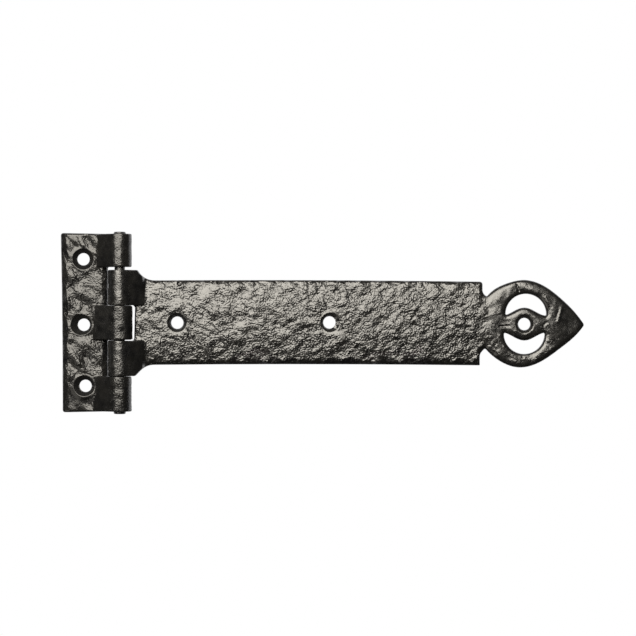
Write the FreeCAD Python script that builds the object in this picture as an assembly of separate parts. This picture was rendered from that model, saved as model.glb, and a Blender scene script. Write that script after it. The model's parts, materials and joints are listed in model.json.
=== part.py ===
import FreeCAD, Part
import math
import os

# Strap hinge (tee hinge) for a door or gate: two iron castings on one riveted pin.
#
# Frame: +Z up along the pin, +X along the closed strap towards its point, -Y out of the
# front. Both castings screw to the plane y = 0, so all the metal is at y <= 0. The origin
# is the point of that plane straight behind the middle of the pin. Millimetres.

os.makedirs("parts", exist_ok=True)

# Both castings
PLATE_THICKNESS = 3.5
EDGE_ROUNDING = 1.0          # front edges of the plates
KNUCKLE_RADIUS = 5.1
KNUCKLE_FLAT = 0.3           # taken off the knuckles' backs, to bring them flush
KNUCKLE_END_ROUNDING = 0.4
RAMP_FILLET = 3.0            # hollow where a knuckle's ramp runs into its plate
PIN_AXIS_Y = KNUCKLE_FLAT - KNUCKLE_RADIUS

# Jamb leaf: a tall plate with three knuckles, (bottom, top) of each and its ramp's reach
LEAF_HALF_HEIGHT = 38.1
LEAF_OUTER_HALF_HEIGHT = 38.6    # the plate splays a little away from the pin
LEAF_LEFT_TOP = -25.7
LEAF_LEFT_MIDDLE = -25.05
LEAF_LEFT_BOTTOM = -24.9
LEAF_CORNER = 1.05
LEAF_RECESS_X = -5.4             # plate's edge beside the strap's knuckles
LEAF_KNUCKLES = [(-LEAF_HALF_HEIGHT, -23.15, 11.3), (-7.35, 7.3, 12.2), (23.9, LEAF_HALF_HEIGHT, 10.3)]

# Strap: a long plate with two knuckles, ending in a pierced spear point
STRAP_KNUCKLES = [(-22.9, -7.8, 10.9), (7.5, 22.6, 10.9)]
STRAP_NOTCH_TOP_X = 6.35         # the notch around the leaf's middle knuckle
STRAP_NOTCH_BOTTOM_X = 6.0
NOTCH_CORNER = 1.2
STRAP_TOP = (18.2, 18.3, 17.65)  # upper and lower edges at the neck, half way, at the shoulders
STRAP_BOTTOM = (-18.2, -17.9, -18.4)
NECK_TOP = (7.4, 10.4)           # x where the neck leaves the knuckle's end, and meets the edge
NECK_BOTTOM = (6.5, 11.0)
NECK_FILLET = 8.0
SHOULDER_TOP_X = 155.95
SHOULDER_BOTTOM_X = 154.75
SHOULDER_DEPTH = 5.0             # straight part of a shoulder, before it turns in to the point
SHOULDER_CORNER = 1.2
SHOULDER_FILLET = 3.0

# Spear point: its edges from the notches behind it to its tip, a little uneven as cast
NOTCH_TOP = (157.8, 11.2)
NOTCH_BOTTOM = (157.0, -11.0)
NOTCH_ROUNDING = 0.5
SPEAR_TOP = (161.0, 14.3, 166.4, 16.9, 173.9, 18.4, 181.6, 16.3, 188.5, 11.5, 195.4, 4.9)
SPEAR_BOTTOM = (162.7, -16.1, 171.4, -19.3, 181.6, -16.5, 188.5, -11.75, 195.4, -6.2)
TIP = (199.85, -0.9)             # where the edges would meet, if the tip were sharp
TIP_RADIUS = 1.2

# Piercings around the eye
CRESCENT_RADIUS = 8.8
CRESCENT_TOP_CENTRE = (174.6, 3.6)
CRESCENT_BOTTOM_CENTRE = (173.9, -4.7)
CRESCENT_END = 0.5
EYE_BOSS_HEIGHT = 7.1            # half height of the boss at the eye, and at the bar's ends
EYE_BAR_HEIGHT = 3.6
EYE_BAR_LENGTH = 9.8
EYE_STATIONS = 8                 # points on each half of the boss's ogee curve

# Screw holes: (x, z, countersink radius)
SCREW_HOLE_RADIUS = 2.65
LEAF_HOLES = [(-15.9, 27.3, 4.5), (-15.7, -0.9, 4.5), (-15.0, -27.2, 4.5)]
STRAP_HOLES = [(24.5, 0.0, 4.1), (90.0, 0.1, 4.1), (173.9, -0.6, 3.9)]

# Pin, riveted over at both ends
PIN_RADIUS = 2.25
PIN_HEAD_RADIUS = 2.6
PIN_HEAD_TOP = 0.9
PIN_HEAD_BOTTOM = 1.1
PIN_HEAD_ROUNDING = 0.6
LEAF_BORE_RADIUS = PIN_RADIUS + 0.02
STRAP_BORE_RADIUS = PIN_RADIUS + 0.08

BEYOND = 12.0                    # how far cutting shapes run past the metal
CLOSE = 1e-4                     # two places nearer than this are the same
OUT = FreeCAD.Vector(0, -1, 0)
UP = FreeCAD.Vector(0, 0, 1)


def point(x, z):
    return FreeCAD.Vector(x, 0, z)


def backwards(coordinates):
    """Coordinates x, z, x, z... of a run of points, taken from its other end."""
    pairs = list(zip(coordinates[0::2], coordinates[1::2]))
    return sum(reversed(pairs), ())


def smooth(points):
    curve = Part.BSplineCurve()
    curve.interpolate(points)
    return curve.toShape()


def outline(start, *steps):
    """A closed wire in the mounting plane. A step (x, z) is a line, (xm, zm, x, z) an arc
    through (xm, zm), and a longer step a smooth curve through all its points."""
    here = point(*start)
    edges = []
    for step in steps:
        stops = [point(x, z) for x, z in zip(step[0::2], step[1::2])]
        if len(stops) == 1:
            edges.append(Part.makeLine(here, stops[0]))
        elif len(stops) == 2:
            edges.append(Part.Arc(here, *stops).toShape())
        else:
            edges.append(smooth([here] + stops))
        here = stops[-1]
    if (here - point(*start)).Length > CLOSE:
        edges.append(Part.makeLine(here, point(*start)))
    return Part.Wire(edges)


def is_upright(edge, x, z):
    """Whether an edge runs straight out from the mounting plane at (x, z)."""
    return all(math.hypot(v.X - x, v.Z - z) < CLOSE for v in edge.Vertexes)


def slab(wire, depth, corners):
    """An outline's solid, from the mounting plane forwards. Each (x, z, radius) in corners
    rounds the corner at that place."""
    solid = Part.Face(wire).extrude(OUT * depth)
    for x, z, radius in corners:
        upright = [e for e in solid.Edges if is_upright(e, x, z)]
        solid = solid.makeFillet(radius, upright)
    return solid


def round_front(plate):
    """Rounds every edge of a plate's front face."""
    front = [e for e in plate.Edges if abs(e.BoundBox.YMax + PLATE_THICKNESS) < CLOSE]
    return plate.makeFillet(EDGE_ROUNDING, front)


def knuckle(side, bottom, top, reach):
    """A barrel on the pin's axis and the ramp down to its plate, which lies on side -1 or +1.
    reach is how far from the axis the ramp would meet the plate, if no fillet were there. The
    back is level with the barrel's, a little behind the mounting plane, and is trimmed later."""
    rise = -PLATE_THICKNESS - PIN_AXIS_Y
    slope = math.asin(KNUCKLE_RADIUS / math.hypot(reach, rise)) + math.atan2(rise, reach)
    run_in = RAMP_FILLET * math.tan(slope / 2)
    sagitta = RAMP_FILLET * (1 / math.cos(slope / 2) - 1)
    end = reach + run_in

    def section(x, y):
        return FreeCAD.Vector(side * x, y, bottom)

    foot = section(end, -PLATE_THICKNESS)
    hollow = section(
        reach + sagitta * math.sin(slope / 2),
        -PLATE_THICKNESS - sagitta * math.cos(slope / 2),
    )
    ramp = section(reach - run_in * math.cos(slope), -PLATE_THICKNESS - run_in * math.sin(slope))
    crown = section(KNUCKLE_RADIUS * math.sin(slope), PIN_AXIS_Y - KNUCKLE_RADIUS * math.cos(slope))
    far_side = section(-KNUCKLE_RADIUS, PIN_AXIS_Y)
    back = section(0, KNUCKLE_FLAT)
    back_end = section(end, KNUCKLE_FLAT)
    edges = [
        Part.Arc(foot, hollow, ramp).toShape(),
        Part.makeLine(ramp, crown),
        Part.Arc(crown, far_side, back).toShape(),
        Part.makeLine(back, back_end),
        Part.makeLine(back_end, foot),
    ]
    solid = Part.Face(Part.Wire(edges)).extrude(UP * (top - bottom))
    level = [e for e in solid.Edges if e.BoundBox.ZLength < CLOSE]
    rims = [e for e in level if any(abs(v.X - side * end) > CLOSE for v in e.Vertexes)]
    return solid.makeFillet(KNUCKLE_END_ROUNDING, rims)


def pin_bore(radius):
    start = FreeCAD.Vector(0, PIN_AXIS_Y, -LEAF_HALF_HEIGHT - BEYOND)
    return Part.makeCylinder(radius, 2 * (LEAF_HALF_HEIGHT + BEYOND), start)


def screw_hole(x, z, countersink):
    """The hole, its 90 degree countersink, and room for the screw's head in front of it."""
    depth = countersink - SCREW_HOLE_RADIUS
    behind = FreeCAD.Vector(x, BEYOND, z)
    wall_end = FreeCAD.Vector(x, depth - PLATE_THICKNESS, z)
    front = FreeCAD.Vector(x, -PLATE_THICKNESS, z)
    wall = Part.makeCylinder(SCREW_HOLE_RADIUS, PLATE_THICKNESS + BEYOND, behind, OUT)
    cone = Part.makeCone(SCREW_HOLE_RADIUS, countersink, depth, wall_end, OUT)
    room = Part.makeCylinder(countersink, BEYOND, front, OUT)
    return wall.fuse([cone, room])


def casting(plate, trim, barrels, bore_radius, holes):
    """A plate with its knuckles, trimmed to the outline, then bored and drilled."""
    barrels = barrels[0].fuse(barrels[1:]).common(trim)
    body = plate.fuse(barrels).removeSplitter().cut(pin_bore(bore_radius))
    for hole in holes:
        body = body.cut(screw_hole(*hole))
    return body


def leaf_blank(depth, right):
    """The jamb leaf's outline made solid, its knuckles' levels reaching out to x = right."""
    (low, low_top, _), (middle_bottom, middle_top, _), (high_bottom, high, _) = LEAF_KNUCKLES
    bottom_corner = (LEAF_LEFT_BOTTOM, -LEAF_OUTER_HALF_HEIGHT)
    top_corner = (LEAF_LEFT_TOP, LEAF_OUTER_HALF_HEIGHT)
    wire = outline(
        bottom_corner,
        (right, low),
        (right, low_top),
        (LEAF_RECESS_X, low_top),
        (LEAF_RECESS_X, middle_bottom),
        (right, middle_bottom),
        (right, middle_top),
        (LEAF_RECESS_X, middle_top),
        (LEAF_RECESS_X, high_bottom),
        (right, high_bottom),
        (right, high),
        top_corner,
        (LEAF_LEFT_MIDDLE, 0) + bottom_corner,
    )
    return slab(wire, depth, [bottom_corner + (LEAF_CORNER,), top_corner + (LEAF_CORNER,)])


def strap_blank(depth, left):
    """The strap's outline made solid, its knuckles' levels reaching back to x = left."""
    (low, low_top, _), (high_bottom, high, _) = STRAP_KNUCKLES
    neck_low = (NECK_BOTTOM[1], STRAP_BOTTOM[0])
    neck_high = (NECK_TOP[1], STRAP_TOP[0])
    halfway = (neck_high[0] + SHOULDER_TOP_X) / 2
    shoulder_low = (SHOULDER_BOTTOM_X, STRAP_BOTTOM[2])
    shoulder_high = (SHOULDER_TOP_X, STRAP_TOP[2])
    turn_low = (SHOULDER_BOTTOM_X, STRAP_BOTTOM[2] + SHOULDER_DEPTH)
    turn_high = (SHOULDER_TOP_X, STRAP_TOP[2] - SHOULDER_DEPTH)
    inner_high = (STRAP_NOTCH_TOP_X, high_bottom)
    inner_low = (STRAP_NOTCH_BOTTOM_X, low_top)
    wire = outline(
        (left, low),
        (NECK_BOTTOM[0], low),
        neck_low,
        (halfway, STRAP_BOTTOM[1]) + shoulder_low,
        turn_low,
        NOTCH_BOTTOM,
        SPEAR_BOTTOM + TIP,
        backwards(SPEAR_TOP) + NOTCH_TOP,
        turn_high,
        shoulder_high,
        (halfway, STRAP_TOP[1]) + neck_high,
        (NECK_TOP[0], high),
        (left, high),
        (left, high_bottom),
        inner_high,
        inner_low,
        (left, low_top),
    )
    corners = [
        neck_low + (NECK_FILLET,),
        neck_high + (NECK_FILLET,),
        shoulder_high + (SHOULDER_CORNER,),
        turn_low + (SHOULDER_FILLET,),
        turn_high + (SHOULDER_FILLET,),
        NOTCH_BOTTOM + (NOTCH_ROUNDING,),
        NOTCH_TOP + (NOTCH_ROUNDING,),
        TIP + (TIP_RADIUS,),
        inner_high + (NOTCH_CORNER,),
        inner_low + (NOTCH_CORNER,),
    ]
    return slab(wire, depth, corners)


def is_end(edge, centre):
    """Whether an edge of a crescent is one of its two points, where the circle is cut off."""
    across = edge.Vertexes[0].X - centre[0]
    up = edge.Vertexes[0].Z - centre[1]
    on_circle = abs(math.hypot(across, up) - CRESCENT_RADIUS) < CLOSE
    return on_circle and abs(across) > CRESCENT_RADIUS / 2


def crescent(centre, side):
    """The piercing above (side +1) or below (-1) the eye: a circle less the eye's boss, whose
    edge is a raised cosine that sinks from the boss to the bar on either side of it."""
    eye_x, eye_z, _ = STRAP_HOLES[-1]
    stations = []
    for step in range(-EYE_STATIONS, EYE_STATIONS + 1):
        along = EYE_BAR_LENGTH * step / EYE_STATIONS
        swell = 0.5 + 0.5 * math.cos(math.pi * along / EYE_BAR_LENGTH)
        height = EYE_BAR_HEIGHT + (EYE_BOSS_HEIGHT - EYE_BAR_HEIGHT) * swell
        stations.append(point(eye_x + along, eye_z + side * height))
    left = point(eye_x - BEYOND, eye_z + side * EYE_BAR_HEIGHT)
    right = point(eye_x + BEYOND, eye_z + side * EYE_BAR_HEIGHT)
    far = UP * (-2 * side * BEYOND)
    edges = [
        Part.makeLine(left, stations[0]),
        smooth(stations),
        Part.makeLine(stations[-1], right),
        Part.makeLine(right, right + far),
        Part.makeLine(right + far, left + far),
        Part.makeLine(left + far, left),
    ]
    bar = Part.Face(Part.Wire(edges)).extrude(OUT * BEYOND)
    piercing = Part.makeCylinder(CRESCENT_RADIUS, BEYOND, point(*centre), OUT).cut(bar)
    ends = [e for e in piercing.Edges if e.BoundBox.YLength > BEYOND / 2 and is_end(e, centre)]
    return piercing.makeFillet(CRESCENT_END, ends)


def jamb_leaf():
    plate = round_front(leaf_blank(PLATE_THICKNESS, 0))
    barrels = [knuckle(-1, *levels) for levels in LEAF_KNUCKLES]
    return casting(plate, leaf_blank(BEYOND, BEYOND), barrels, LEAF_BORE_RADIUS, LEAF_HOLES)


def strap_leaf():
    plate = strap_blank(PLATE_THICKNESS, 0)
    plate = plate.cut(crescent(CRESCENT_TOP_CENTRE, 1)).cut(crescent(CRESCENT_BOTTOM_CENTRE, -1))
    barrels = [knuckle(1, *levels) for levels in STRAP_KNUCKLES]
    trim = strap_blank(BEYOND, -BEYOND)
    return casting(round_front(plate), trim, barrels, STRAP_BORE_RADIUS, STRAP_HOLES)


def hinge_pin():
    """A shank through all five knuckles, its ends hammered over the outer ones."""
    height = LEAF_HALF_HEIGHT
    shank = Part.makeCylinder(PIN_RADIUS, 2 * height, FreeCAD.Vector(0, PIN_AXIS_Y, -height))
    heads = []
    for end, proud, way in ((height, PIN_HEAD_TOP, UP), (-height, PIN_HEAD_BOTTOM, -UP)):
        head = Part.makeCylinder(PIN_HEAD_RADIUS, proud, FreeCAD.Vector(0, PIN_AXIS_Y, end), way)
        outside = end + proud * way.z
        rim = [e for e in head.Edges if all(abs(v.Z - outside) < CLOSE for v in e.Vertexes)]
        heads.append(head.makeFillet(PIN_HEAD_ROUNDING, rim))
    return shank.fuse(heads).removeSplitter()


for name, make in (("jamb_leaf", jamb_leaf), ("strap_leaf", strap_leaf), ("hinge_pin", hinge_pin)):
    shape = make()
    if len(shape.Solids) != 1 or not shape.isValid():
        raise SystemExit("%s is not one valid solid" % name)
    shape = shape.Solids[0]
    shape.exportStep("parts/%s.step" % name)
    box = shape.BoundBox
    print("%s %.1f mm3, x %.2f..%.2f, y %.2f..%.2f, z %.2f..%.2f" % (
        name, shape.Volume, box.XMin, box.XMax, box.YMin, box.YMax, box.ZMin, box.ZMax))
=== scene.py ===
import json
import math

import bmesh
import bpy
import numpy as np
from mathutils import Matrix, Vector, kdtree


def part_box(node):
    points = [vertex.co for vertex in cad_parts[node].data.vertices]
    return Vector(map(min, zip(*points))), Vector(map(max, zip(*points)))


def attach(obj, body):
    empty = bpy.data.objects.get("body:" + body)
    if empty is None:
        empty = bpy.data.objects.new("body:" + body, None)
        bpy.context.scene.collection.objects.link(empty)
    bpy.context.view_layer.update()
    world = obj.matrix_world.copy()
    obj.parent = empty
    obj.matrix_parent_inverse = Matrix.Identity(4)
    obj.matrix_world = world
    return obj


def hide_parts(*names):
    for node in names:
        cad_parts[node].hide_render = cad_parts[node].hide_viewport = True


# Cast iron strap hinge in black satin paint: two castings with a stone-like relief, and the
# riveted pin between them. Lengths in the relief are in millimetres.

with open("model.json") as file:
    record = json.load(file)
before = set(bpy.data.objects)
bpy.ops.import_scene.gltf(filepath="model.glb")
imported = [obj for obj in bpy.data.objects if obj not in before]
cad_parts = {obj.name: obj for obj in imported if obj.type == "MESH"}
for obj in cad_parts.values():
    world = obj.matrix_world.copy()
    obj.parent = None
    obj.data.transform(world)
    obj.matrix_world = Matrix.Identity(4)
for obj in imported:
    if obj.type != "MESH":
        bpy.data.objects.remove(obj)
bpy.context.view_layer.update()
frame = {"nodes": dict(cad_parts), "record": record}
MM = 0.001

holes = {
    m["name"]: (m["pos_m"][0] / MM, m["pos_m"][2] / MM)
    for m in frame["record"]["mounts"]
    if m["kind"] == "bore"
}
LEAF_LOW = Vector(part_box("jamb_leaf")[0]) / MM
STRAP_HIGH = Vector(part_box("strap_leaf")[1]) / MM

# The metal, as in the CAD
PLATE = 3.5                 # thickness of both plates
PIN_Y = -4.8                # the pin's axis
KNUCKLE_INSIDE = 4.0        # a radius between the pin's bore and the outside of a knuckle
LEAF_PLATE_END = -5.0       # the leaf's plate is left of this x,
STRAP_PLATE_START = 6.2     # and the strap's plate right of this one
SHOULDERS = 155.3           # where the plain strap ends and its point begins

# The relief
LUMPS_TURN = (40, 95)       # between these x the strap's lumps change from falling to leaning
CROWN_HALF_HEIGHT = 18      # the strap's front is crowned across this much each way
CALM_TOP = (2, 9)           # distances below the upper edge over which its calm band fades
POINT_SMOOTH = (184, 192)   # between these x the spear point turns smooth,
POINT_FALL = (181, 203)     # and between these its front falls back towards the tip
POINT_FALL_DEPTH = 1.5
SMOOTH_ENDS = (24, 31)      # distances up and down over which the leaf turns smooth
LEFT_BEVEL = (2.8, 1.7)     # width and depth of the bevel along the leaf's left edge,
RECESS_BEVEL = (2.3, 1.7)   # and of the one beside the strap's knuckles

# Casting marks on the strap: the hole that places each, its two ends from there as (x, z), its
# width, and its depth, which is negative for a ridge
MARKS = (
    ("strap_hole_knuckle", (0.6, 16.8), (1.2, 16.3), 0.8, 0.5),
    ("strap_hole_knuckle", (3.9, -2.6), (5.1, -3.4), 0.5, 0.4),
    ("strap_hole_knuckle", (5.1, -3.4), (5.6, -5.3), 0.6, 0.4),
    ("strap_hole_eye", (-3.3, 16.8), (-2.4, 14.2), 0.6, 0.3),
    ("strap_hole_eye", (-10.7, -1.1), (-7.0, -0.8), 0.7, 0.35),
    ("strap_hole_eye", (8.0, -0.6), (9.4, 0.6), 0.7, 0.35),
    ("strap_hole_eye", (15.9, 6.7), (14.4, 1.1), 1.0, -0.2),
)

# Countersinks: the hole, the radius, and how far the axis is off the hole's in x
STRAP_CONES = (
    ("strap_hole_knuckle", 4.1, 0.0),
    ("strap_hole_middle", 4.1, 0.35),
    ("strap_hole_eye", 3.9, 0.0),
)
LEAF_CONES = (
    ("leaf_hole_top", 4.5, 0.0),
    ("leaf_hole_middle", 4.5, -0.9),
    ("leaf_hole_bottom", 4.5, -0.4),
)

# The end faces between two knuckles: the height, the gap to the other, and that gap as shown on
# the left and on the right
KNUCKLE_ENDS = (
    (7.3, 0.2, 0.06, 0.06),
    (7.5, 0.2, 0.06, 0.06),
    (-7.35, 0.45, 0.08, 0.45),
    (-7.8, 0.45, 0.08, 0.45),
    (-22.9, 0.25, 0.07, 0.2),
    (-23.15, 0.25, 0.07, 0.2),
)

# How far the right side of a barrel stands out between two heights: (low, high, how far)
STRAP_SWOLLEN = (0, 0, 0)
LEAF_SWOLLEN = (-7.5, 7.45, 0.4)
STRAP_RIDGE = 0.075         # how much the strap's barrels are sharpened at their crowns
LEAF_RIDGE = 0.0

# The meshes
FINE = 0.22
PIN_FINE = 0.2
STRAP_TRIANGLES = 190000
LEAF_TRIANGLES = 150000


# ---------------------------------------------------------------- noise
STEP = 0.15                 # spacing of the noise grids
COUNT_X, COUNT_Z = 1600, 600
START_X, START_Z = -40, -45


def ramp(value, low, high):
    """0 below low, 1 above high, smooth between."""
    t = np.clip((value - low) / (high - low), 0, 1)
    return t * t * (3 - 2 * t)


def waves(seed, length, spread=0.35, lean=0.0, stretch=1.0):
    """A seeded field of unit variance with bumps about length millimetres apart. The bumps are
    stretched along a line at lean degrees above X. Returns a function of x and z."""
    white = np.random.default_rng(seed).standard_normal((COUNT_X, COUNT_Z))
    kx = np.fft.fftfreq(COUNT_X, STEP)[:, None]
    kz = np.fft.rfftfreq(COUNT_Z, STEP)[None, :]
    c, s = math.cos(math.radians(lean)), math.sin(math.radians(lean))
    along = (kx * c + kz * s) * math.sqrt(stretch)
    across = (kz * c - kx * s) / math.sqrt(stretch)
    k = np.sqrt(along**2 + across**2) + 1e-9
    gain = np.exp(-(np.log(k * length) ** 2) / (2 * spread**2))
    field = np.fft.irfft2(np.fft.rfft2(white) * gain, s=(COUNT_X, COUNT_Z))
    field /= field.std()

    def sample(x, z):
        u = (x - START_X) / STEP
        v = (z - START_Z) / STEP
        i, j = np.floor(u).astype(int), np.floor(v).astype(int)
        a, b = u - i, v - j
        i0, i1, j0, j1 = i % COUNT_X, (i + 1) % COUNT_X, j % COUNT_Z, (j + 1) % COUNT_Z
        return (field[i0, j0] * (1 - a) * (1 - b) + field[i1, j0] * a * (1 - b)
                + field[i0, j1] * (1 - a) * b + field[i1, j1] * a * b)

    return sample


def crease(field, x, z, width):
    """0 along the lines where a field changes sign, rising to 1 at about width either side."""
    return np.tanh(np.abs(field(x, z)) / width)


swell = waves(11, 14.0)
facets = waves(21, 10.0, lean=-55, stretch=1.7)
lumps_large = waves(22, 8.0)
lumps = waves(12, 5.5)
lumps_lean = waves(13, 4.5, lean=32, stretch=2.2)
lumps_fall = waves(14, 4.5, lean=-28, stretch=1.8)
crinkle = waves(15, 3.4, lean=12, stretch=1.3)
crinkle_fine = waves(16, 1.9, lean=5, stretch=1.2)
crinkle_tiny = waves(23, 1.25, spread=0.3)
crinkle_steep = waves(26, 3.0, lean=-60, stretch=1.8)
cracks = waves(28, 5.0, lean=-15, stretch=1.5)
grain = waves(17, 0.9, spread=0.3)
patches = waves(18, 16.0)
streaks = waves(27, 4.0, lean=-60, stretch=4.0)
edge_wander = waves(19, 9.0)
edge_nibble = waves(20, 3.0)
barrel_lumps = waves(24, 6.0)
barrel_grain = waves(25, 1.3)


# ---------------------------------------------------------------- relief
def facing(component):
    """1 where an edge's outward direction lies mostly this way, and 0 where it doesn't."""
    return ramp(component, 0.3, 0.9)


def slope(distance, width, power=1):
    """1 at an edge, falling to 0 at width from it."""
    return np.clip(1 - distance / width, 0, 1) ** power


def mark(x, z, start, end, width, depth):
    """The depth of a dent along the line from start to end, or of a ridge where negative."""
    along = np.array([end[0] - start[0], end[1] - start[1]])
    length = math.hypot(*along)
    t = np.clip(((x - start[0]) * along[0] + (z - start[1]) * along[1]) / length**2, 0, 1)
    away = np.hypot(x - start[0] - t * along[0], z - start[1] - t * along[1])
    return depth * (1 - ramp(away, 0.25 * width, width))


def stone(x, z, coarse, fine):
    """The strap's broken, stone-like face, in millimetres about zero. coarse and fine scale its
    lumps and its grain."""
    turn = ramp(x, *LUMPS_TURN)
    broad = turn * lumps_lean(x, z) + (1 - turn) * lumps_fall(x, z)
    cracked = ramp(facets(x, z) + 0.6 * lumps(x, z), -0.2, 1.0)
    fine = fine * (0.82 + 0.18 * turn)
    height = 0.10 * swell(x, z) + 0.06 * lumps_large(x, z)
    height += coarse * (0.045 * lumps(x, z) + 0.042 * broad)
    height += 0.13 * coarse * (crease(crinkle, x, z, 0.3) - 0.75)
    height += 0.20 * coarse * cracked * (crease(cracks, x, z, 0.35) - 0.8)
    height += 0.10 * fine * (crease(crinkle_fine, x, z, 0.3) - 0.7)
    height += 0.075 * fine * (crease(crinkle_tiny, x, z, 0.35) - 0.7)
    return height + 0.047 * fine * grain(x, z)


def strap_bevel(x, z, edge, side, point):
    """Depth of the bevels of the strap's edges: wide and deep along the bottom, thin and
    scalloped along the top, and an even one round the spear point."""
    down = facing(-side[1])
    up = facing(side[1])
    right = facing(side[0])
    width = 0.7 + 1.8 * down + 1.5 * up + 1.2 * right * (1 - point)
    width *= 1 + (0.22 + 0.13 * up) * edge_wander(x, z) + 0.10 * edge_nibble(x, z)
    depth = 0.12 + 0.88 * down + 0.55 * up + 0.5 * right
    plain = depth * slope(edge, np.maximum(width, 0.4), 1.2)
    ring = 0.65 * slope(edge, 2.3, 1.7)
    return (1 - point) * plain + point * ring


def strap_height(x, z, edge, side):
    """Height of the strap's front above its back. edge is the distance to the nearest edge, and
    side that edge's outward direction as (x, z)."""
    point = ramp(x, SHOULDERS - 2, SHOULDERS + 9)
    root = ramp(x, SHOULDERS - 4, SHOULDERS + 5)
    tip = ramp(x, *POINT_SMOOTH)
    near_top = ramp(z - STRAP_HIGH.z, -CALM_TOP[1], -CALM_TOP[0])
    calm = np.maximum(ramp(patches(x, z) + 2.4 * near_top, 1.3, 2.5), 0.5 * near_top)
    rough = (1 - 0.65 * calm) * (1 - root)
    rough += root * (1 - 0.6 * tip) * (0.25 + 0.25 * ramp(-z, -4, 6))
    height = PLATE + stone(x, z, rough, (rough + 0.1 - 0.1 * point) * (1 - 0.5 * point))
    height -= point * (0.06 * swell(x, z) + 0.035 * lumps_large(x, z))
    height += 0.04 * point * (1 - tip) * facets(x, z)
    height += 0.15 * (1 - point) - (1.05 - 0.55 * point) * (z / CROWN_HALF_HEIGHT) ** 2
    height -= strap_bevel(x, z, edge, side, point)
    height -= POINT_FALL_DEPTH * ramp(x, *POINT_FALL) * point
    for hole, start, end, width, depth in MARKS:
        hx, hz = holes[hole]
        height -= mark(x - hx, z - hz, start, end, width, depth)
    return height


def leaf_height(x, z, edge, side):
    """Height of the jamb leaf's front above its back, with the same arguments."""
    smooth_top = ramp(z, *SMOOTH_ENDS) * ramp(-x, 13, 18)
    smooth_low = ramp(-z, *SMOOTH_ENDS) * ramp(-x, 10, 16)
    calm = np.maximum(smooth_top, smooth_low)
    # the left edge splays and curves a little
    high = z / -LEAF_LOW.z
    from_left = x - LEAF_LOW.x - 0.39 * (1 - high) - 0.23 * (1 - high**2)
    worn = 1 - 0.5 * (1 - ramp(from_left, 0.5, 3.2))
    rough = (1 - 0.85 * calm) * worn
    height = PLATE + 0.08 * swell(x, z) + 0.25 * (1 - 0.6 * calm) * worn * facets(x, z)
    height += rough * (0.07 * lumps_large(x, z) + 0.075 * lumps(x, z))
    height += 0.19 * rough * (crease(crinkle_steep, x, z, 0.35) - 0.7)
    height += 0.06 * smooth_top * streaks(x, z) + 0.05 * smooth_low * (z + SMOOTH_ENDS[0])
    height += rough * 0.050 * (crease(crinkle_fine, x, z, 0.4) - 0.7)
    height += rough * (0.042 * (crease(crinkle_tiny, x, z, 0.35) - 0.7) + 0.034 * grain(x, z))
    wander = 1 + 0.14 * edge_wander(x, z)
    width, depth = LEFT_BEVEL
    left = depth * slope(from_left, width * wander, 1.2)
    height -= np.maximum(0.15 * slope(edge, 0.9 * wander, 1.2), left)
    width, depth = RECESS_BEVEL
    recess = facing(side[0]) * (x > LEAF_LOW.x / 2)
    return height - recess * depth * slope(edge, width + 0.12 * edge_nibble(x, z))


# ---------------------------------------------------------------- meshes
def applied(obj):
    """Applies an object's modifiers to its mesh."""
    graph = bpy.context.evaluated_depsgraph_get()
    mesh = bpy.data.meshes.new_from_object(obj.evaluated_get(graph))
    obj.modifiers.clear()
    obj.data = mesh
    return obj


def remeshed(node, name, voxel, smoothing):
    """A new object with an even, fine mesh over a CAD node's shape."""
    mesh = frame["nodes"][node].data.copy()
    bm = bmesh.new()
    bm.from_mesh(mesh)
    bmesh.ops.remove_doubles(bm, verts=bm.verts, dist=1e-7)
    bm.to_mesh(mesh)
    bm.free()
    mesh.materials.clear()
    obj = bpy.data.objects.new(name, mesh)
    bpy.context.collection.objects.link(obj)
    remesh = obj.modifiers.new("even", "REMESH")
    remesh.mode = "VOXEL"
    remesh.voxel_size = voxel * MM
    smooth = obj.modifiers.new("smooth", "SMOOTH")
    smooth.factor = 0.5
    smooth.iterations = smoothing
    return applied(obj)


def read(mesh):
    """The places of a mesh's vertices in millimetres, and their normals."""
    count = len(mesh.vertices)
    co = np.empty(count * 3, np.float32)
    normal = np.empty(count * 3, np.float32)
    mesh.vertices.foreach_get("co", co)
    mesh.vertex_normals.foreach_get("vector", normal)
    return co.reshape(-1, 3).astype(float) / MM, normal.reshape(-1, 3).astype(float)


def write(mesh, co):
    mesh.vertices.foreach_set("co", (co * MM).astype(np.float32).ravel())
    mesh.update()


def edge_distance(co, normal, wanted):
    """For each wanted vertex, the distance in the front's plane to the nearest side wall, and
    that wall's outward direction."""
    upright = np.abs(normal[:, 1]) < 0.35
    half_way = (co[:, 1] < -0.8) & (co[:, 1] > -PLATE + 1.2)
    wall = np.nonzero(upright & half_way)[0][::3]
    tree = kdtree.KDTree(len(wall))
    for i in wall:
        tree.insert((co[i, 0], 0, co[i, 2]), int(i))
    tree.balance()
    distance = np.full(len(co), 99.0)
    side = np.zeros((2, len(co)))
    for i in np.nonzero(wanted)[0]:
        _, nearest, d = tree.find((co[i, 0], 0, co[i, 2]))
        distance[i] = d
        side[0, i], side[1, i] = normal[nearest, 0], normal[nearest, 2]
    return distance, side


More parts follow.
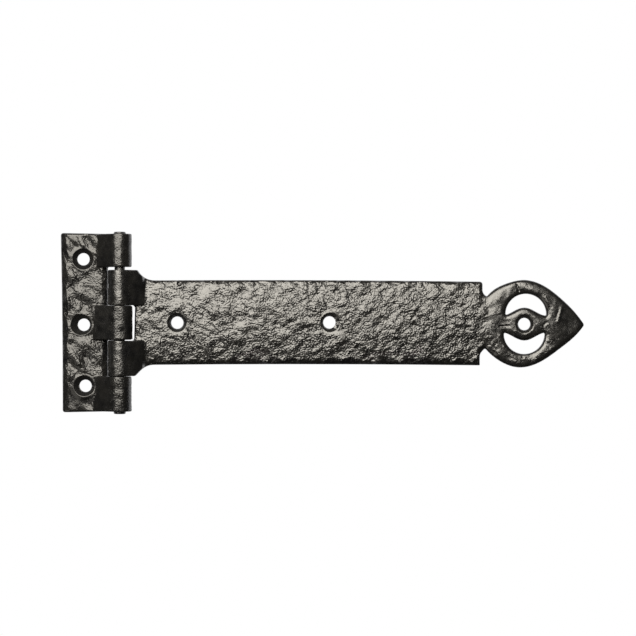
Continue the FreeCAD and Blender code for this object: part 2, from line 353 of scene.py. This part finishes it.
def plate_relief(co, normal, plate, height, cones):
    """The y of each vertex with the plate's relief, which fades out up the foot of each ramp,
    and with its countersinks."""
    x, y, z = co.T
    distance, side = edge_distance(co, normal, plate & (y < -1.0))
    tall = height(x, z, distance, side)
    for name, radius, shift in cones:
        hx, hz = holes[name]
        r = np.hypot(x - hx - shift, z - hz)
        tall = PLATE + 0.05 + (tall - PLATE - 0.05) * ramp(r, radius - 0.3, radius + 1.8)
    rise = np.clip(-y - PLATE, 0, None)
    fade = 1 - ramp(rise, 0.05, 0.9)
    stretched = y * (1 + (tall / PLATE - 1) * fade)
    for name, radius, shift in cones:
        hx, hz = holes[name]
        r = np.hypot(x - hx - shift, z - hz)
        around = np.hypot(x - hx, z - hz) < radius + 2.0
        near = around & (normal[:, 1] < -0.35) & (rise < 0.3)
        cone = PLATE - (radius - r)
        stretched = np.where(near, -np.minimum(tall, np.maximum(cone, 0.4)), stretched)
    uneven = 0.05 * np.tanh(swell(x, z) + 0.9 * lumps(x, z))
    back = 0.075 + uneven + 0.02 * np.tanh(crinkle_fine(x, z))
    return stretched - back * ramp(y, -1.0, 0.0)


def barrel_bumps(co, normal, ridge, swollen):
    """How far each vertex of the knuckles' barrels moves outwards."""
    x, y, z = co.T
    around = np.hypot(x, y - PIN_Y)
    barrel = (around > KNUCKLE_INSIDE) & (np.abs(normal[:, 2]) < 0.4) & (-y - PLATE > 0.05)
    bump = 0.035 * barrel_lumps(x, z) + 0.014 * barrel_grain(x * 2, z) * (1.2 - z / 60)
    bump -= ridge * ramp(np.abs(x - 0.3), 0, 2.4)
    bump *= ramp(around, KNUCKLE_INSIDE, 4.8) * (1 - ramp(around, 5.15, 5.6))
    low, high, far = swollen
    bump += far * (z > low) * (z < high) * ramp(x, 1.0, 4.6)
    return np.where(barrel, bump, 0)


def end_push(co, normal):
    """How far each vertex of the knuckles' ends moves along the pin, so that they all but meet,
    most of all on the left."""
    x, y, z = co.T
    around = np.hypot(x, y - PIN_Y)
    right = ramp(x, -1.0, 3.5)
    total = np.zeros(len(co))
    for end, gap, left_open, right_open in KNUCKLE_ENDS:
        push = (gap - left_open - (right_open - left_open) * right) / 2
        level = (np.abs(z - end) < 0.12) & (np.abs(normal[:, 2]) > 0.6)
        face = level & (around > 2.7) & (around < 5.3)
        total += np.where(face, push * np.sign(normal[:, 2]), 0)
    return total


def sculpt(obj, height, cones, on_plate, ridge, swollen):
    """Gives a casting's plate its relief, its barrels their faint bumps, and its knuckles' ends
    their places."""
    co, normal = read(obj.data)
    plate = on_plate(co[:, 0])
    plate_y = plate_relief(co, normal, plate, height, cones)
    bumps = barrel_bumps(co, normal, ridge, swollen)
    push = end_push(co, normal)
    co[:, 1] = np.where(plate, plate_y, co[:, 1])
    co[:, :2] += bumps[:, None] * normal[:, :2]
    co[:, 2] += push
    write(obj.data, co)


def folded_faces(mesh):
    """The numbers of the faces that face against the surface round them."""
    mesh.calc_loop_triangles()
    triangles = mesh.loop_triangles
    normals = np.empty(len(triangles) * 3, np.float32)
    corners = np.empty(len(triangles) * 3, np.int32)
    face = np.empty(len(triangles), np.int32)
    triangles.foreach_get("normal", normals)
    triangles.foreach_get("vertices", corners)
    triangles.foreach_get("polygon_index", face)
    around = read(mesh)[1][corners.reshape(-1, 3)].sum(axis=1)
    return np.unique(face[(normals.reshape(-1, 3) * around).sum(axis=1) < 0.15])


def closes_cleanly(edge):
    """Whether collapsing an edge keeps the surface whole."""
    first, second = ({e.other_vert(v) for e in v.link_edges} for v in edge.verts)
    return len(first & second) == sum(len(f.verts) == 3 for f in edge.link_faces)


def unfold(mesh, folded):
    """Collapses the shortest edge of each folded face."""
    bm = bmesh.new()
    bm.from_mesh(mesh)
    bm.faces.ensure_lookup_table()
    short = set()
    for i in folded:
        edges = sorted(filter(closes_cleanly, bm.faces[i].edges), key=lambda e: e.calc_length())
        short.update(edges[:1])
    bmesh.ops.collapse(bm, edges=list(short))
    bm.to_mesh(mesh)
    bm.free()


def thin(obj, triangles):
    """Collapses a mesh to about that many triangles, flat stretches first, and then the few
    faces that this has folded over."""
    obj.data.calc_loop_triangles()
    decimate = obj.modifiers.new("thin", "DECIMATE")
    decimate.ratio = min(1.0, triangles / len(obj.data.loop_triangles))
    applied(obj)
    for _ in range(4):
        folded = folded_faces(obj.data)
        if len(folded) == 0:
            break
        unfold(obj.data, folded)
    obj.data.shade_smooth()


strap = remeshed("strap_leaf", "strap_casting", FINE, 4)
on_strap = lambda x: x > STRAP_PLATE_START
sculpt(strap, strap_height, STRAP_CONES, on_strap, STRAP_RIDGE, STRAP_SWOLLEN)
thin(strap, STRAP_TRIANGLES)

leaf = remeshed("jamb_leaf", "jamb_leaf_casting", FINE, 4)
on_leaf = lambda x: x < LEAF_PLATE_END
sculpt(leaf, leaf_height, LEAF_CONES, on_leaf, LEAF_RIDGE, LEAF_SWOLLEN)
thin(leaf, LEAF_TRIANGLES)

pin = remeshed("hinge_pin", "riveted_pin", PIN_FINE, 2)
pin.data.shade_smooth()


# ---------------------------------------------------------------- paint
PAINT_CLEAN = (0.0010, 0.0010, 0.0011, 1)
PAINT_DUSTY = (0.0030, 0.0029, 0.0027, 1)
GRIT_HEIGHT = 0.00012       # metres
POINT_GRIT = 0.45           # the grit on the spear point, as a share of the strap's


def mapped(tree, source, from_range, to_range):
    """A value carried from one range to another."""
    node = tree.nodes.new("ShaderNodeMapRange")
    node.inputs["From Min"].default_value = from_range[0]
    node.inputs["From Max"].default_value = from_range[1]
    node.inputs["To Min"].default_value = to_range[0]
    node.inputs["To Max"].default_value = to_range[1]
    tree.links.new(source, node.inputs["Value"])
    return node.outputs["Result"]


def black_paint(name, roughness, bump, specular):
    """Satin black paint over rough iron: uneven gloss, a little dust, and a fine grit that is
    weaker on the strap's point."""
    material = bpy.data.materials.new(name)
    material.use_nodes = True
    tree = material.node_tree
    nodes = tree.nodes
    links = tree.links
    shader = nodes["Principled BSDF"]
    shader.inputs["IOR"].default_value = 1.5
    shader.inputs["Specular IOR Level"].default_value = specular
    place = nodes.new("ShaderNodeTexCoord")

    def noise(scale, detail, noise_roughness):
        node = nodes.new("ShaderNodeTexNoise")
        node.inputs["Scale"].default_value = scale
        node.inputs["Detail"].default_value = detail
        node.inputs["Roughness"].default_value = noise_roughness
        links.new(place.outputs["Object"], node.inputs["Vector"])
        return node.outputs["Fac"]

    dust = nodes.new("ShaderNodeValToRGB")
    dust.color_ramp.elements[0].position = 0.35
    dust.color_ramp.elements[0].color = PAINT_CLEAN
    dust.color_ramp.elements[1].position = 0.72
    dust.color_ramp.elements[1].color = PAINT_DUSTY
    links.new(noise(180, 6, 0.55), dust.inputs["Fac"])
    links.new(dust.outputs["Color"], shader.inputs["Base Color"])

    gloss = mapped(tree, noise(420, 5, 0.6), (0.3, 0.7), (roughness - 0.07, roughness + 0.09))
    links.new(gloss, shader.inputs["Roughness"])

    along = nodes.new("ShaderNodeSeparateXYZ")
    links.new(place.outputs["Object"], along.inputs["Vector"])
    point_start = ((SHOULDERS - 3) * MM, (SHOULDERS + 6) * MM)
    strength = mapped(tree, along.outputs["X"], point_start, (bump, POINT_GRIT * bump))
    raised = nodes.new("ShaderNodeBump")
    raised.inputs["Distance"].default_value = GRIT_HEIGHT
    links.new(strength, raised.inputs["Strength"])
    links.new(noise(1500, 1, 0.5), raised.inputs["Height"])
    links.new(raised.outputs["Normal"], shader.inputs["Normal"])
    return material


# Both castings carry the same black paint, but the leaf's copy reflects a third less (specular
# 0.33 against 0.5). That copy is painted shade, making the leaf look darker than the strap.
strap_paint = black_paint("black_strap_paint", 0.225, 0.8, 0.5)
shaded_leaf_paint = black_paint("black_leaf_paint", 0.225, 0.65, 0.33)
pin_paint = black_paint("black_pin_paint", 0.34, 0.5, 0.5)

for piece, body, node, slot, paint in (
    (strap, "strap", "strap_leaf", "black_casting", strap_paint),
    (leaf, "leaf", "jamb_leaf", "black_casting", shaded_leaf_paint),
    (pin, "leaf", "hinge_pin", "black_pin", pin_paint),
):
    piece.data.materials.clear()
    piece.data.materials.append(paint)
    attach(piece, body)
    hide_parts(node)


# ---------------------------------------------------------------- studio, in metres
FLOOR_HEIGHT = -1.6
# the sky's brightness in some directions, from the front (-1) to the back (+1)
SKY_BRIGHTNESS = ((0.02, 0.01), (0.58, 1.15), (0.64, 1.15), (0.97, 0.30))
SKY_RISE = (-0.5, 0.15)     # between these directions, up from the level, it grows
SKY_GROWTH = (0.5, 2.1)     # from the first of these times as bright to the second
LIGHT_COLOUR = (1.0, 0.95, 0.85)
KEY_X, KEY_Y = -0.2025, -0.75
KEY_WIDTH = 0.895
KEY_TOP = 0.75
FRAME_WIDTH = 0.2733        # across the picture at the plates' fronts
DISTANCE = 1.0
CAMERA_X, CAMERA_Z = 0.0851, 0.0020
SENSOR_WIDTH = 36           # millimetres


def glowing(name, strength):
    material = bpy.data.materials.new(name)
    material.use_nodes = True
    nodes = material.node_tree.nodes
    nodes.remove(nodes["Principled BSDF"])
    glow = nodes.new("ShaderNodeEmission")
    glow.inputs["Strength"].default_value = strength
    surface = nodes["Material Output"].inputs["Surface"]
    material.node_tree.links.new(glow.outputs["Emission"], surface)
    return material


def staged(obj, name):
    """A white stage piece that the camera sees, and that lights and reflects nothing."""
    obj.name = name
    obj.data.materials.append(glowing(name + "_white", 1.0))
    obj.visible_diffuse = False
    obj.visible_glossy = False
    obj.visible_shadow = False


def sky(name):
    """A world that is dark in front, brightest a little behind the part, and brighter above."""
    world = bpy.data.worlds.new(name)
    world.use_nodes = True
    tree = world.node_tree
    nodes = tree.nodes
    links = tree.links
    place = nodes.new("ShaderNodeTexCoord")
    split = nodes.new("ShaderNodeSeparateXYZ")
    links.new(place.outputs["Generated"], split.inputs["Vector"])
    half = nodes.new("ShaderNodeMath")
    half.operation = "MULTIPLY_ADD"
    half.inputs[1].default_value = 0.5
    half.inputs[2].default_value = 0.5
    links.new(split.outputs["Y"], half.inputs[0])
    shade = nodes.new("ShaderNodeValToRGB")
    shade.color_ramp.interpolation = "EASE"
    while len(shade.color_ramp.elements) < len(SKY_BRIGHTNESS):
        shade.color_ramp.elements.new(0.5)
    for element, (towards_back, value) in zip(shade.color_ramp.elements, SKY_BRIGHTNESS):
        element.position = (towards_back + 1) / 2
        element.color = (value, value, value, 1)
    links.new(half.outputs["Value"], shade.inputs["Fac"])
    growth = mapped(tree, split.outputs["Z"], SKY_RISE, SKY_GROWTH)
    product = nodes.new("ShaderNodeMath")
    product.operation = "MULTIPLY"
    links.new(shade.outputs["Color"], product.inputs[0])
    links.new(growth, product.inputs[1])
    links.new(product.outputs["Value"], nodes["Background"].inputs["Strength"])
    nodes["Background"].inputs["Color"].default_value = (1, 1, 1, 1)
    return world


def softbox(name, centre, width, height, brightness, aim):
    """A rectangular light that faces aim. brightness is in watts per square metre."""
    data = bpy.data.lights.new(name, "AREA")
    data.shape = "RECTANGLE"
    data.size = width
    data.size_y = height
    data.energy = brightness * width * height
    data.color = LIGHT_COLOUR
    box = bpy.data.objects.new(name, data)
    bpy.context.collection.objects.link(box)
    box.location = centre
    box.rotation_euler = (Vector(aim) - Vector(centre)).to_track_quat("-Z", "Y").to_euler()
    box.visible_camera = False


def front_light(name, low, brightness):
    """A light in front, up and to the left, from a height of low."""
    z = (low + KEY_TOP) / 2
    softbox(name, (KEY_X, KEY_Y, z), KEY_WIDTH, KEY_TOP - low, brightness, (KEY_X, 0, z))


bpy.ops.mesh.primitive_uv_sphere_add(segments=64, ring_count=32, radius=6.0)
staged(bpy.context.object, "backdrop")
floor_place = (0, 0, FLOOR_HEIGHT)
bpy.ops.mesh.primitive_circle_add(vertices=96, radius=5.5, fill_type="NGON", location=floor_place)
staged(bpy.context.object, "floor")

bpy.context.scene.world = sky("studio")

# one broad light, up and to the left, that fades towards its lower edge
front_light("key", 0.030, 44)
front_light("key_middle", 0.130, 34)
front_light("key_top", 0.220, 74)
# a weak one low on the left, for views from the right
softbox("fill", (-0.62, -0.72, -0.55), 0.75, 0.5, 6, (0.09, 0, 0))

camera_data = bpy.data.cameras.new("camera")
camera_data.sensor_width = SENSOR_WIDTH
camera_data.lens = SENSOR_WIDTH * (DISTANCE - PLATE * MM) / FRAME_WIDTH
camera_data.clip_end = 30
camera = bpy.data.objects.new("camera", camera_data)
bpy.context.collection.objects.link(camera)
camera.location = (CAMERA_X, -DISTANCE, CAMERA_Z)
camera.rotation_euler = (math.radians(90), 0, 0)
bpy.context.scene.camera = camera
bpy.context.scene.view_settings.view_transform = "Standard"
